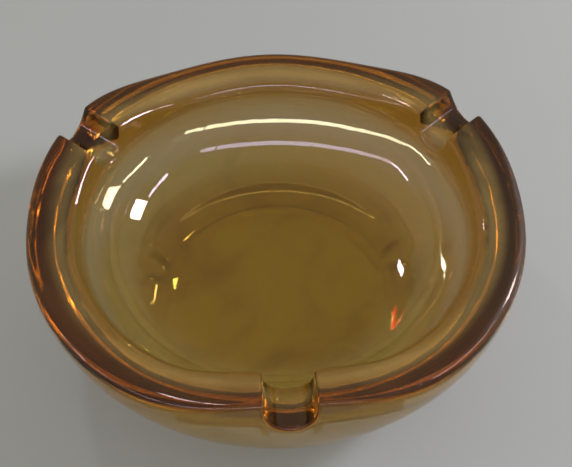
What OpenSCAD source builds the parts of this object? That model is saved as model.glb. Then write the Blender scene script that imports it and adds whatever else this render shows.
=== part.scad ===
// Pressed-glass ashtray: a round bowl with a thick rim that swells up at three
// cigarette rests. It is one piece of glass, and it stands on its foot at z = 0.

/* [Body] */
// Diameter of the body at its widest
body_d = 165; // [155:1:175]
// Height of the rim at the crest of a swell, before the rest is cut through it
body_h = 49; // [46:1:53]
// How far below the crest the body is widest
belly_drop = 9.6; // [8:0.2:11]
// How far the rim's outer edge leans in from the widest place
rim_lean = 2.4; // [1.6:0.1:3.2]
// Diameter of the foot, where the round lower body ends
foot_d = 100.5; // [95:0.5:104]
// Depth of the shallow hollow under the foot
foot_hollow = 0.6; // [0.3:0.1:1.2]
// Width of the flat ring that the glass stands on
foot_ring_w = 6; // [4:0.5:10]

/* [Rim] */
// Fall of the rim's top from its outer edge to the well, in degrees
rim_fall = 12; // [8:0.5:15]
// How far the rim drops between two rests
swell_h = 7.5; // [5:0.5:8]
// Length of rim over which a swell falls away, on each side of a rest
swell_run = 48; // [42:1:52]

/* [Well] */
// Radius of the well's mouth
well_r = 66.5; // [64:0.5:68]
// Thickness of the floor
floor_t = 7; // [6:0.5:9]
// Radius of the round corner between the well's wall and its floor
well_corner_r = 33; // [29:1:33]
// Draft of the well's wall, in degrees
well_draft = 4; // [3:0.5:5]

/* [Rests] */
// Width of a rest
rest_w = 15; // [13:0.5:16]
// Depth of a rest at the outer face, below the crest
rest_depth = 9.6; // [8.5:0.1:11]
// Fall of a rest's floor towards the well, in degrees
rest_fall = 18; // [14:1:22]
// Direction of each rest about the axis, in degrees from the front
rest_turns = [0, 120, 240];

/* [Hidden] */
$fn = 128;
// Cuts run this far past the faces that they open
past = 12;
body_r = body_d / 2;
rim_r = body_r - rim_lean;
belly_z = body_h - belly_drop;
// The wall above the widest place is an arc that ends at the rim's outer edge
lean_arc = (pow(belly_drop, 2) + pow(rim_lean, 2)) / (2 * rim_lean);
foot_r = foot_d / 2;
hollow_r = foot_r - foot_ring_w;
// The round lower body is one arc from the foot to the widest place
belly_arc = (pow(body_r - foot_r, 2) + pow(belly_z, 2)) / (2 * (body_r - foot_r));
// A swell is a straight ridge over a round rim, so the slope of its top makes up
// part of its fall. The side of its outline is two equal arcs, one crowned and
// one hollow, that make up the rest.
ridge_h = swell_h - (rim_r - sqrt(pow(rim_r, 2) - pow(swell_run, 2))) * tan(rim_fall);
swell_turn = 2 * atan(ridge_h / swell_run);
swell_arc = swell_run / (2 * sin(swell_turn));
// Centre of the well's round corner
corner_z = floor_t + well_corner_r;
corner_c = well_r - (body_h - corner_z) * tan(well_draft) - well_corner_r / cos(well_draft);

// Half section of the solid body, with its top left flat above the crest
module body_section() {
    intersection() {
        translate([body_r - belly_arc, belly_z]) circle(belly_arc);
        square([body_r, belly_z]);
    }
    square([body_r - belly_arc, belly_z]);
    intersection() {
        translate([body_r - lean_arc, belly_z]) circle(lean_arc);
        translate([0, belly_z]) square([body_r, belly_drop]);
    }
    translate([0, belly_z]) square([body_r - lean_arc, belly_drop]);
}

// Half section of everything above the rim's sloping top, which meets the rim's
// outer edge at height z
module above_rim_section(z) {
    reach = rim_r + past;
    polygon([
        [0, z - rim_r * tan(rim_fall)],
        [reach, z + past * tan(rim_fall)],
        [reach, z + body_h],
        [0, z + body_h]
    ]);
}

// Solid body of revolution, as high as the crest all round
module turned_body() {
    rotate_extrude() difference() {
        body_section();
        above_rim_section(body_h);
    }
}

// Outline of one swell, seen along the rest, with its crest on the X axis
module swell_outline() {
    intersection() {
        translate([0, -swell_arc]) circle(swell_arc);
        translate([-swell_run / 2, -body_h]) square([swell_run, body_h]);
    }
    difference() {
        translate([-swell_run, -body_h]) square([2 * swell_run, body_h - ridge_h / 2]);
        for (side = [-1, 1])
            translate([side * swell_run, swell_arc - ridge_h]) circle(swell_arc);
    }
    translate([-swell_run - past, -body_h]) square([2 * (swell_run + past), body_h - ridge_h]);
}

// Ridge under one swell, running out to the front and rising with the rim's slope
module swell_ridge() {
    translate([0, -rim_r, body_h])
        rotate([90 - rim_fall, 0, 0])
            translate([0, 0, -rim_r / 2])
                linear_extrude(rim_r / 2 + past) swell_outline();
}

// Half section of the well
module well_section() {
    top = body_h + past;
    polygon([
        [0, floor_t],
        [corner_c, floor_t],
        [corner_c, corner_z],
        [corner_c + well_corner_r * cos(well_draft), corner_z - well_corner_r * sin(well_draft)],
        [well_r + past * tan(well_draft), top],
        [0, top]
    ]);
    intersection() {
        translate([corner_c, corner_z]) circle(well_corner_r);
        translate([0, floor_t]) square([corner_c + well_corner_r, well_corner_r]);
    }
}

// Round-bottomed channel through the front of the rim, falling towards the well
module rest_channel() {
    reach = body_r - well_r + past;
    translate([0, -body_r, body_h - rest_depth])
        rotate([-rest_fall, 0, 0])
            translate([0, 0, rest_w / 2]) {
                translate([0, -past, 0]) rotate([-90, 0, 0]) cylinder(h = reach + past, d = rest_w);
                translate([-rest_w / 2, -past, 0]) cube([rest_w, reach + past, body_h]);
            }
}

// Everything above the rim where it dips between the swells
module rim_dips() {
    difference() {
        rotate_extrude() above_rim_section(body_h - swell_h);
        for (turn = rest_turns) rotate(turn) swell_ridge();
    }
}

// Shallow hollow under the foot: a flat cone, hollow_r wide where it leaves the glass
module foot_hollow_cut() {
    translate([0, 0, -foot_hollow])
        cylinder(h = 2 * foot_hollow, r1 = hollow_r * 5 / 3, r2 = hollow_r / 3);
}

module glass_bowl() {
    color([0.79, 0.56, 0.2, 0.6]) difference() {
        turned_body();
        rim_dips();
        rotate_extrude() well_section();
        for (turn = rest_turns) rotate(turn) rest_channel();
        foot_hollow_cut();
    }
}

glass_bowl();
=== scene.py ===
# A pressed-glass ashtray in amber glass with an orange, gold and purple-brown lustre.
import math
import bmesh
import bpy
from mathutils import Matrix, Vector


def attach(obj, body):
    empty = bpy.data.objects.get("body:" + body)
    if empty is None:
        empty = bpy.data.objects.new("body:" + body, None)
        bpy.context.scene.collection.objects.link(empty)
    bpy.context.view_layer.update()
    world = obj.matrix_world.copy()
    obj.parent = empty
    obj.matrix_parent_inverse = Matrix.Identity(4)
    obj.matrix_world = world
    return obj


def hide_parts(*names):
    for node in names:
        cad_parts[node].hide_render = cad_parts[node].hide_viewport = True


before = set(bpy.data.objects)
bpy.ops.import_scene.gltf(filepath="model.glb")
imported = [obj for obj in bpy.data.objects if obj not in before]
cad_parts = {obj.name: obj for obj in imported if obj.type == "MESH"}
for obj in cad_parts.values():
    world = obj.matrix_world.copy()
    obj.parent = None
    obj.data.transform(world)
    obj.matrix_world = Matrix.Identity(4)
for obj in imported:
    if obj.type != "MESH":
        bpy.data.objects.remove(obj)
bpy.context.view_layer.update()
mm = 0.001
print("frame loaded")


def smooth(low, high, x):  # 0 below low, 1 above high, eased between
    t = min(1.0, max(0.0, (x - low) / (high - low)))
    return t * t * (3 - 2 * t)


def mix(a, b, t):
    return a + (b - a) * t


# The glass, in mm. Turns round it are measured from a rest, and its shape repeats mirrored every
# sixth of a turn, from the middle of a rest to halfway to the next.
glass = {
    "height": 49.0,        # rim at a rest's crest
    "bodyRadius": 82.5,    # widest place
    "bellyHeight": 39.4,
    "bellyArc": 40.2,      # radius of the round lower body
    "rimLean": 2.4,        # how far the rim's edge leans in from the widest place
    "hollowRadius": 44.25,  # shallow hollow inside the foot ring
    "hollowDepth": 0.6,
    "wellRadius": 66.5,    # well's mouth
    "wellDraft": 4.0,      # degrees
    "cornerRadius": 33.0,  # between the well's wall and its floor
    "floorHeight": 7.0,
    "restHalfWidth": 7.35,
    "restBottom": 39.3,    # rest's floor at the outer face
    "restFall": 18.0,      # degrees, towards the well
    "restLip": 1.3,        # rounding along a rest's two top edges
    "outerRound": (1.1, 3.6),   # rounding of the rim's outer edge, at a rest and between rests
    "innerRound": (1.3, 4.6),
    "roundTurns": (0.12, 0.6),  # radians from a rest over which the rounding grows
    "outerWave": (3.62, 1.47),  # rise of the rim at the rests, in three and in six waves round
    "innerWave": (3.03, 1.05),
    "innerDrop": 3.7,      # well's edge below the rim's outer edge at a rest
}
grid = {
    "columns": 24,         # in a sixth of a turn
    "restColumns": 9,      # of those, the ones that shape half a rest
    "lipColumns": 3,       # and of those, the ones over its lip
    "spread": 1.25,        # how fast the columns widen away from a rest
    "lowTwist": 0.45,      # share of the rim's uneven columns that is kept low on the body
    "wallRings": 10,
    "roundRings": 4,
    "bandRings": 3,
    "floorRings": [0, 9, 18, 25],           # radii
    "underRings": [0, 12, 24, 34, 41],
    "footRings": [glass["hollowRadius"], 47.5],
    "outerFree": 26.0,     # up to this far up a wall the grid ignores the rests
    "innerFree": 20.8,
}
sixth = math.pi / 3

g = glass
leanDrop = g["height"] - g["bellyHeight"]
leanArc = (leanDrop ** 2 + g["rimLean"] ** 2) / (2 * g["rimLean"])
cornerHeight = g["floorHeight"] + g["cornerRadius"]
draft = math.radians(g["wellDraft"])
cornerCentre = (g["wellRadius"] - (g["height"] - cornerHeight) * math.tan(draft)
                - g["cornerRadius"] / math.cos(draft))
footAngle = math.acos(g["bellyHeight"] / g["bellyArc"])
bellyLength = g["bellyArc"] * (math.pi / 2 - footAngle)
cornerLength = g["cornerRadius"] * (math.pi / 2 - draft)
rimRadius = g["bodyRadius"] - g["rimLean"]
band = rimRadius - g["wellRadius"]  # width of the rim's top


def outerWall(length):  # (radius, height) this far up the outside from the foot
    if length < bellyLength:
        turn = footAngle + length / g["bellyArc"]
        return (g["bodyRadius"] - g["bellyArc"] + g["bellyArc"] * math.sin(turn),
                g["bellyHeight"] - g["bellyArc"] * math.cos(turn))
    turn = (length - bellyLength) / leanArc
    return (g["bodyRadius"] - leanArc + leanArc * math.cos(turn),
            g["bellyHeight"] + leanArc * math.sin(turn))


def outerLength(height):  # the other way round: length up the outside at a height
    if height < g["bellyHeight"]:
        return g["bellyArc"] * (math.acos((g["bellyHeight"] - height) / g["bellyArc"]) - footAngle)
    return bellyLength + leanArc * math.asin((height - g["bellyHeight"]) / leanArc)


def innerWall(length):  # (radius, height) this far up the well from the edge of its floor
    if length < cornerLength:
        turn = length / g["cornerRadius"]
        return (cornerCentre + g["cornerRadius"] * math.sin(turn),
                cornerHeight - g["cornerRadius"] * math.cos(turn))
    straight = length - cornerLength
    return (cornerCentre + g["cornerRadius"] * math.cos(draft) + straight * math.sin(draft),
            cornerHeight - g["cornerRadius"] * math.sin(draft) + straight * math.cos(draft))


def innerLength(height):
    tangent = cornerHeight - g["cornerRadius"] * math.sin(draft)
    if height < tangent:
        return g["cornerRadius"] * math.acos((cornerHeight - height) / g["cornerRadius"])
    return cornerLength + (height - tangent) / math.cos(draft)


def wallAt(height, outside):  # radius
    return outerWall(outerLength(height))[0] if outside else innerWall(innerLength(height))[0]


def wave(amounts, turn):  # 0 at a rest, falling away between rests
    return amounts[0] * (math.cos(3 * turn) - 1) + amounts[1] * (math.cos(6 * turn) - 1)


def rimHeight(turn, across):  # top of the rim, from across = 0 outside to 1 at the well
    outside = g["height"] + wave(g["outerWave"], turn)
    inside = g["height"] - g["innerDrop"] + wave(g["innerWave"], turn)
    return mix(outside, inside, across)


def outlinePoint(column, across):  # (radius, turn, height) where a column crosses the rim's top
    radius = rimRadius - band * across
    halfWidth, lip = g["restHalfWidth"], g["restLip"]
    start = math.asin((halfWidth + lip) / radius)
    arcColumns = grid["restColumns"] - grid["lipColumns"]
    if column <= arcColumns:  # round floor of the rest
        bend = column / arcColumns * math.pi / 2
        offset = halfWidth * math.sin(bend)
        bottom = g["restBottom"] - band * across * math.tan(math.radians(g["restFall"]))
        return radius, math.asin(offset / radius), bottom + halfWidth * (1 - math.cos(bend))
    top = rimHeight(start, across)
    if column <= grid["restColumns"]:  # lip up to the rim's top
        bend = (column - arcColumns) / grid["lipColumns"] * math.pi / 2
        offset = halfWidth + lip * (1 - math.cos(bend))
        return radius, math.asin(offset / radius), top - lip * (1 - math.sin(bend))
    share = (column - grid["restColumns"]) / (grid["columns"] - grid["restColumns"])
    turn = mix(start, sixth, share ** grid["spread"])
    return radius, turn, rimHeight(turn, across)


def acrossRim(column, across):  # the same, and the direction from the outline into the glass
    radius, turn, height = outlinePoint(column, across)
    before, after = max(column - 1, 0), min(column + 1, grid["columns"])
    _, turnBefore, heightBefore = outlinePoint(before, across)
    _, turnAfter, heightAfter = outlinePoint(after, across)
    along = Vector((radius * (turnAfter - turnBefore), heightAfter - heightBefore))
    if column in (0, grid["columns"]):
        along.y = 0
    along.normalize()
    return radius, turn, height, Vector((along.y, -along.x))


def spreadTurn(column):  # turn of a column low on the body, where the columns spread out evenly
    evenly = column / grid["columns"] * sixth
    atRim = outlinePoint(column, 0)[1]
    return mix(evenly, atRim, grid["lowTwist"])


def roundSize(outside, turn):
    sizes = g["outerRound"] if outside else g["innerRound"]
    return mix(sizes[0], sizes[1], smooth(*g["roundTurns"], turn))


# Each of the next five gives (radius, turn, height) of one column's point on a ring.
def flatPoint(column, radius, height):
    return radius, spreadTurn(column), height


def hollowPoint(column, radius):  # domed hollow inside the foot ring
    return radius, spreadTurn(column), g["hollowDepth"] * (1 - (radius / g["hollowRadius"]) ** 2)


def wallPoint(column, share, outside):  # share runs from 0 at the foot or floor to 1 at the rounding
    across = 0 if outside else 1
    radius, turn, height, inward = acrossRim(column, across)
    size = roundSize(outside, turn)
    turnTop = turn + size * inward.x / radius
    heightTop = height + size * inward.y
    lengthOf, wall = (outerLength, outerWall) if outside else (innerLength, innerWall)
    free = grid["outerFree"] if outside else grid["innerFree"]
    fullLength = lengthOf(rimHeight(sixth, across) - size)
    length = share * fullLength
    top = lengthOf(heightTop)
    if length > free:
        length = free + (length - free) / (fullLength - free) * (top - free)
    ease = smooth(0.0, 1.0, length / top)
    wallRadius, wallHeight = wall(length)
    return wallRadius, mix(spreadTurn(column), turnTop, ease), wallHeight


def roundPoint(column, step, outside):  # rounding between a wall and the rim's top
    _, turn, height, inward = acrossRim(column, 0 if outside else 1)
    size = roundSize(outside, turn)
    bend = step / grid["roundRings"] * math.pi / 2
    drop = size * (1 - math.sin(bend))
    wallRadius = wallAt(height + inward.y * drop, outside)
    shift = size * (1 - math.cos(bend))
    radius = wallRadius - shift if outside else wallRadius + shift
    return radius, turn + drop * inward.x / radius, height + drop * inward.y


def bandPoint(column, step):  # straight across the rim's top
    across = step / grid["bandRings"]
    outer = roundPoint(column, grid["roundRings"], True)
    inner = roundPoint(column, grid["roundRings"], False)
    radius = mix(outer[0], inner[0], across)
    if column <= grid["restColumns"]:  # a rest's sides run side by side
        offset = mix(outer[0] * math.sin(outer[1]), inner[0] * math.sin(inner[1]), across)
        turn = math.asin(offset / radius)
    else:
        turn = mix(outer[1], inner[1], across)
    return radius, turn, mix(outer[2], inner[2], across)


def ringList():  # from the middle of the underside, up, over the rim and down to the floor's middle
    wallRings, roundRings = grid["wallRings"], grid["roundRings"]
    rings = [(hollowPoint, radius) for radius in grid["underRings"]]
    rings += [(flatPoint, radius, 0.0) for radius in grid["footRings"]]
    rings += [(wallPoint, step / wallRings, True) for step in range(wallRings)]
    rings += [(roundPoint, step, True) for step in range(roundRings + 1)]
    rings += [(bandPoint, step) for step in range(1, grid["bandRings"])]
    rings += [(roundPoint, step, False) for step in range(roundRings, -1, -1)]
    rings += [(wallPoint, step / wallRings, False) for step in range(wallRings - 1, -1, -1)]
    rings += [(flatPoint, radius, g["floorHeight"]) for radius in reversed(grid["floorRings"])]
    return rings


def barrelOrder(middle, columns):  # counts round and then up the barrel: vertices, edges and faces alike
    turn = round(math.atan2(middle.y, middle.x) / math.pi * columns) % (2 * columns)
    return round(4 * middle.z) * 2 * columns + turn


def spunBarrel(ringCount, columns):  # closed barrel with ring n at height n
    bm = bmesh.new()
    ends = (0, ringCount - 1)
    line = [bm.verts.new((0.0 if i in ends else 1.0, 0.0, i)) for i in range(ringCount)]
    edges = [bm.edges.new(pair) for pair in zip(line, line[1:])]
    bmesh.ops.spin(bm, geom=line + edges, cent=(0, 0, 0), axis=(0, 0, 1), dvec=(0, 0, 0),
                   angle=2 * math.pi, steps=columns, use_merge=True, use_duplicate=False)
    bmesh.ops.remove_doubles(bm, verts=bm.verts, dist=0.001)
    # the spin numbers its parts differently each time, so they are put in order
    bm.verts.sort(key=lambda v: barrelOrder(v.co, columns))
    bm.edges.sort(key=lambda e: barrelOrder((e.verts[0].co + e.verts[1].co) / 2, columns))
    bm.faces.sort(key=lambda f: barrelOrder(f.calc_center_median(), columns))
    return bm


def glassBowl():
    rings = ringList()
    columns = 6 * grid["columns"]
    bm = spunBarrel(len(rings), columns)
    for v in bm.verts:  # lay the barrel over the glass
        place = round(math.atan2(v.co.y, v.co.x) / (2 * math.pi) * columns) % columns
        third, step = divmod(place, 2 * grid["columns"])
        mirrored = step > grid["columns"]
        column = 2 * grid["columns"] - step if mirrored else step
        pointOf, *where = rings[round(v.co.z)]
        radius, turn, height = pointOf(column, *where)
        turn = 2 * sixth * third + (2 * sixth - turn if mirrored else turn)
        v.co = Vector((radius * math.sin(turn), -radius * math.cos(turn), height)) * mm
    bmesh.ops.recalc_face_normals(bm, faces=bm.faces)
    if bm.calc_volume(signed=True) < 0:
        bmesh.ops.reverse_faces(bm, faces=bm.faces)
    mesh = bpy.data.meshes.new("glass_bowl_blown")
    bm.to_mesh(mesh)
    bm.free()
    for face in mesh.polygons:
        face.use_smooth = True
    piece = bpy.data.objects.new("amber_glass_bowl", mesh)
    bpy.context.scene.collection.objects.link(piece)
    subdivide = piece.modifiers.new("subdivide", "SUBSURF")
    subdivide.levels = subdivide.render_levels = 2
    return piece


bowl = glassBowl()
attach(bowl, "root")
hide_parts("glass_bowl")
print("glass made:", len(bowl.data.vertices), "vertices before subdivision")


class Signal:  # a shader value that can be used in sums
    def __init__(self, shader, socket):
        self.shader, self.socket = shader, socket

    def __add__(self, other):
        return self.shader.maths("ADD", self, other)

    def __radd__(self, other):
        return self.shader.maths("ADD", other, self)

    def __sub__(self, other):
        return self.shader.maths("SUBTRACT", self, other)

    def __rsub__(self, other):
        return self.shader.maths("SUBTRACT", other, self)

    def __mul__(self, other):
        return self.shader.maths("MULTIPLY", self, other)

    def __rmul__(self, other):
        return self.shader.maths("MULTIPLY", other, self)


class Shader:  # builds the nodes of one material
    def __init__(self, name):
        self.material = bpy.data.materials.new(name)
        self.material.use_nodes = True
        self.tree = self.material.node_tree
        self.tree.nodes.clear()

    def plug(self, socket, value):
        if isinstance(value, Signal):
            self.tree.links.new(value.socket, socket)
        elif socket.type == "RGBA":
            socket.default_value = (*value, 1.0)
        else:
            socket.default_value = value

    def add(self, kind, settings, sockets, out=None):  # sockets go in order, or by name in a dictionary
        node = self.tree.nodes.new("ShaderNode" + kind)
        for name, setting in settings.items():
            setattr(node, name, setting)
        if isinstance(sockets, dict):
            pairs = [(node.inputs[name], value) for name, value in sockets.items()]
        else:
            pairs = zip([socket for socket in node.inputs if socket.enabled], sockets)
        for socket, value in pairs:
            self.plug(socket, value)
        if out is not None:
            return Signal(self, node.outputs[out])
        return Signal(self, [socket for socket in node.outputs if socket.enabled][0])

    def maths(self, operation, *sides):
        return self.add("Math", {"operation": operation}, sides)

    def split(self, vector):  # its x, y and z
        first = self.add("SeparateXYZ", {}, [vector])
        return [Signal(self, socket) for socket in first.socket.node.outputs]

    def noise(self, place, sizes):
        return self.add("TexNoise", {}, {"Vector": place, **sizes})

    def blend(self, share, first, second):  # colours
        return self.add("Mix", {"data_type": "RGBA"}, [share, first, second])

    def blendSurfaces(self, share, first, second):
        return self.add("MixShader", {}, [share, first, second])

    def ease(self, signal, limits):  # 0 below the first limit, 1 above the second
        low, high = limits
        return self.add("MapRange", {"interpolation_type": "SMOOTHSTEP"}, [signal, low, high, 0.0, 1.0])

    def easeMm(self, signal, limits):  # the same with its limits in mm
        return self.ease(signal, [limit * mm for limit in limits])

    def finish(self, surface, volume):
        output = self.tree.nodes.new("ShaderNodeOutputMaterial")
        self.plug(output.inputs["Surface"], surface)
        self.plug(output.inputs["Volume"], volume)
        return self.material


lustre = {
    # light that the film lets through, and on the floor painted shade as well
    "wallFilm": (1.0, 1.0, 0.93),
    "wallStreak": (0.98, 0.92, 0.74),
    # floor: amber film darkened by painted shade under the foot, blotched with painted shadow of cloth
    # folds
    "floorFilmAndShade": (0.76, 0.50, 0.015),
    "floorShadowBlotch": (0.56, 0.32, 0.006),
    "edgeFilm": (0.96, 0.64, 0.10),    # round the top of the well
    "rimFilm": (0.80, 0.58, 0.26),
    "outerFilm": (0.42, 0.22, 0.07),   # outer part of the rim
    "heavyFilm": (0.13, 0.065, 0.03),  # where the rim's lustre lies thickest, on one side
    # light that the film scatters back, and how much of the surface does so
    "innerHaze": (0.34, 0.25, 0.09),
    "outerHaze": (0.09, 0.03, 0.006),
    "heavyHaze": (0.03, 0.015, 0.008),
    "wellShare": 0.01,
    "rimShare": 0.42,
    "heavyShare": 0.4,                 # more haze on the heavy side
    "hazeRoughness": 0.5,
    "hazeShine": 0.2,
    # film and glass
    "insideLustre": (285.0, 1.46),     # film's depth in nm, and its index
    "outsideLustre": (82.0, 1.85),
    "index": 1.52,
    "glassTint": (0.91, 0.66, 0.04),
    "glassDensity": 20.0,
    "roughness": (0.015, 0.05),
    "ripple": (0.006, 0.02),           # strength and depth
    # patterns
    "blotch": {"Scale": 28.0, "Detail": 3.0, "Roughness": 0.5, "Distortion": 1.2},
    "streak": {"Scale": 22.0, "Detail": 4.0, "Roughness": 0.6, "Distortion": 0.6},
    "streakStretch": (1.0, 1.0, 6.0),
    "wallStreaks": (0.42, 0.72),       # parts of a pattern that show
    # where the floor's blotches of painted shadow show
    "floorShadowBlotches": (0.45, 0.75),
    "hazeStreaks": (0.2, 0.7),
    # where one finish eases into the next, as radius or height in mm
    "floorToWall": (6.0, 16.0),        # height
    "wallTop": (29.0, 38.0),           # height
    "pastWall": (67.0, 69.0),          # radius
    "rimStart": (66.5, 71.0),          # radius
    "rimUp": (34.0, 41.0),             # height
    "rimFacing": (0.1, 0.6),           # upward part of the surface's direction
    "rimOuter": (71.0, 77.0),          # radius
    "heavySide": (45.0, 72.0),         # along x
    "restStart": (68.0, 71.0),         # radius
    "restEnd": (78.5, 79.8),           # radius
    "restUp": (28.0, 32.0),            # height
    # faces that take the outside lustre: the body's side below the rim, and the underside
    "sideInset": 1.0,                  # mm in from the rim's edge
    "sideTop": 38.0,                   # mm
    "underFacing": -0.1,               # upward part of the face's direction
}


def lustreGlass(name, film):
    s = Shader(name)
    place = s.add("TexCoord", {}, {}, out="Object")
    x, y, z = s.split(place)
    radius = s.maths("SQRT", x * x + y * y)
    blotch = s.noise(place, lustre["blotch"])
    drawnOut = s.add("Mapping", {}, {"Vector": place, "Scale": lustre["streakStretch"]})
    streak = s.noise(drawnOut, lustre["streak"])

    # masks
    facing = s.split(s.add("TexCoord", {}, {}, out="Normal"))[2]
    onRim = s.easeMm(radius, lustre["rimStart"]) * s.easeMm(z, lustre["rimUp"])
    onRim = onRim * s.ease(facing, lustre["rimFacing"])
    inRest = s.easeMm(radius, lustre["restStart"]) * (1 - s.easeMm(radius, lustre["restEnd"]))
    inRest = inRest * s.easeMm(z, lustre["restUp"])
    wallTop = s.easeMm(z, lustre["wallTop"]) * (1 - s.easeMm(radius, lustre["pastWall"]))
    outward = s.easeMm(radius, lustre["rimOuter"])
    heavy = s.easeMm(x, lustre["heavySide"]) * outward

    # clear lustre
    wall = s.blend(s.ease(streak, lustre["wallStreaks"]), lustre["wallFilm"], lustre["wallStreak"])
    # floor colour: the film's amber with painted shade, blotched with painted shadow
    base = s.blend(s.ease(blotch, lustre["floorShadowBlotches"]), lustre["floorFilmAndShade"], lustre["floorShadowBlotch"])
    outerFilm = s.blend(heavy, lustre["outerFilm"], lustre["heavyFilm"])
    rim = s.blend(outward, lustre["rimFilm"], outerFilm)
    colour = s.blend(s.easeMm(z, lustre["floorToWall"]), base, wall)
    colour = s.blend(wallTop, colour, lustre["edgeFilm"])
    colour = s.blend(onRim, colour, rim)
    smoothest, roughest = lustre["roughness"]
    strength, depth = lustre["ripple"]
    filmDepth, filmIndex = film
    clear = s.add("BsdfPrincipled", {}, {
        "Base Color": colour,
        "Roughness": streak * (roughest - smoothest) + smoothest,
        "IOR": lustre["index"],
        "Transmission Weight": 1.0,
        "Thin Film Thickness": filmDepth,
        "Thin Film IOR": filmIndex,
        "Normal": s.add("Bump", {}, {"Strength": strength, "Distance": depth, "Height": blotch}),
    })

    # part-opaque lustre
    outerHaze = s.blend(heavy, lustre["outerHaze"], lustre["heavyHaze"])
    haze = s.add("BsdfPrincipled", {}, {
        "Base Color": s.blend(outward, lustre["innerHaze"], outerHaze),
        "Roughness": lustre["hazeRoughness"],
        "Specular IOR Level": lustre["hazeShine"],
    })
    share = s.maths("MAXIMUM", onRim, inRest) * s.ease(streak, lustre["hazeStreaks"])
    share = share * (lustre["rimShare"] - lustre["wellShare"]) + lustre["wellShare"]
    share = share + heavy * onRim * lustre["heavyShare"]
    amber = s.add("VolumeAbsorption", {}, {"Color": lustre["glassTint"], "Density": lustre["glassDensity"]})
    return s.finish(s.blendSurfaces(share, clear, haze), amber)


bowl.data.materials.append(lustreGlass("lustre_glass_inside", lustre["insideLustre"]))
bowl.data.materials.append(lustreGlass("lustre_glass_outside", lustre["outsideLustre"]))
for face in bowl.data.polygons:
    middle = face.center / mm
    farOut = math.hypot(middle.x, middle.y) > rimRadius - lustre["sideInset"]
    onSide = farOut and middle.z < lustre["sideTop"]
    if onSide or face.normal.z < lustre["underFacing"]:
        face.material_index = 1
print("lustre glass made")

studio = {
    "floorReach": 9.0,  # metres from the middle
    "paper": (0.268, 0.298, 0.340),
    "air": (0.93, 0.81, 0.56),
    "airStrength": 0.62,
}
floorMesh = bpy.data.meshes.new("floor")
bm = bmesh.new()
bmesh.ops.create_grid(bm, x_segments=1, y_segments=1, size=studio["floorReach"])
bm.to_mesh(floorMesh)
bm.free()
floor = bpy.data.objects.new("floor", floorMesh)
bpy.context.scene.collection.objects.link(floor)
paper = bpy.data.materials.new("paper")
paper.use_nodes = True
paper.node_tree.nodes["Principled BSDF"].inputs["Base Color"].default_value = (*studio["paper"], 1)
floor.data.materials.append(paper)

world = bpy.data.worlds.new("studio")
bpy.context.scene.world = world
world.use_nodes = True
world.node_tree.nodes["Background"].inputs["Color"].default_value = (*studio["air"], 1)
world.node_tree.nodes["Background"].inputs["Strength"].default_value = studio["airStrength"]
print("floor and air made")

view = {
    "distance": 4.0648,  # in rim radii
    "height": 46.43,     # degrees above the rim
    "side": -2.05,       # degrees round from the front
    "roll": -0.68,
    "aim": (0.0292, -0.2252),  # in rim radii, from the rim's middle
    "focal": 62.94,      # mm, on a frame this wide
    "frameWidth": 36.0,
}
reach = rimRadius * mm
rimMiddle = Vector((0, 0, g["height"] * mm))
up = math.radians(view["height"])
side = math.radians(view["side"])
sight = Vector((math.sin(side) * math.cos(up), -math.cos(side) * math.cos(up), math.sin(up)))
cameraPlace = sight * view["distance"] * reach + rimMiddle
aim = Vector((*view["aim"], 0)) * reach + rimMiddle
camera = bpy.data.objects.new("camera", bpy.data.cameras.new("camera"))
camera.data.lens = view["focal"]
camera.data.sensor_width = view["frameWidth"]
camera.data.clip_start = 0.01
turnToAim = (aim - cameraPlace).to_track_quat("-Z", "Y").to_matrix().to_4x4()
roll = Matrix.Rotation(math.radians(view["roll"]), 4, "Z")
camera.matrix_world = Matrix.Translation(cameraPlace) @ turnToAim @ roll
bpy.context.scene.collection.objects.link(camera)
bpy.context.scene.camera = camera
print("camera set")


lampsFace = Vector((0, 0, 0.03))  # the middle of the bowl


def areaLight(name, place, size, watts, tint=(1, 1, 1)):
    lamp = bpy.data.lights.new(name, "AREA")
    lamp.shape = "RECTANGLE"
    lamp.size, lamp.size_y = size
    lamp.energy = watts
    lamp.color = tint
    holder = bpy.data.objects.new(name, lamp)
    holder.location = place
    holder.rotation_euler = (lampsFace - Vector(place)).to_track_quat("-Z", "Y").to_euler()
    bpy.context.scene.collection.objects.link(holder)
    return holder


# Long tubes overhead, in one line broken by two gaps. They cast no shadow, because little of their
# light would find its way to the paper through the glass, and the glass would look dull.
tubes = {
    "height": 1.5,
    "ahead": 1.5,    # in front of the bowl
    "lean": -5.0,    # degrees
    "width": 0.19,
    "watts": 5.3,    # a metre
    "runs": ((1.79, 1.27), (1.21, -3.5), (-3.6, -4.6)),  # ends along the line
}
lean = math.radians(tubes["lean"])
for number, (first, last) in enumerate(tubes["runs"]):
    middle = (first + last) / 2
    length = first - last
    spot = (middle * math.cos(lean), middle * math.sin(lean) - tubes["ahead"], tubes["height"])
    tube = areaLight("tube_%d" % number, spot, (length, tubes["width"]), tubes["watts"] * length)
    tube.rotation_euler = (math.atan2(tubes["ahead"], tubes["height"]), 0, lean)
    tube.data.use_shadow = False

lamps = [  # name, place, size, watts and, for one, a tint
    ("right_lamp", (1.55, -0.22, 0.97), (0.5, 0.07), 3),
    ("left_lamp", (-1.8, -0.19, 0.62), (0.45, 0.06), 2.5),
    ("window", (0.832, 0.192, 0.446), (0.2, 0.2), 8.5, (1.0, 0.9, 0.88)),
    ("back_lamp", (-0.56, 1.05, 1.1), (0.1, 0.15), 1.9),
]
for lamp in lamps:
    areaLight(*lamp)
bpy.context.scene.view_settings.view_transform = "Standard"
print("lamps lit:", len(tubes["runs"]) + len(lamps))

bpy.context.view_layer.update()
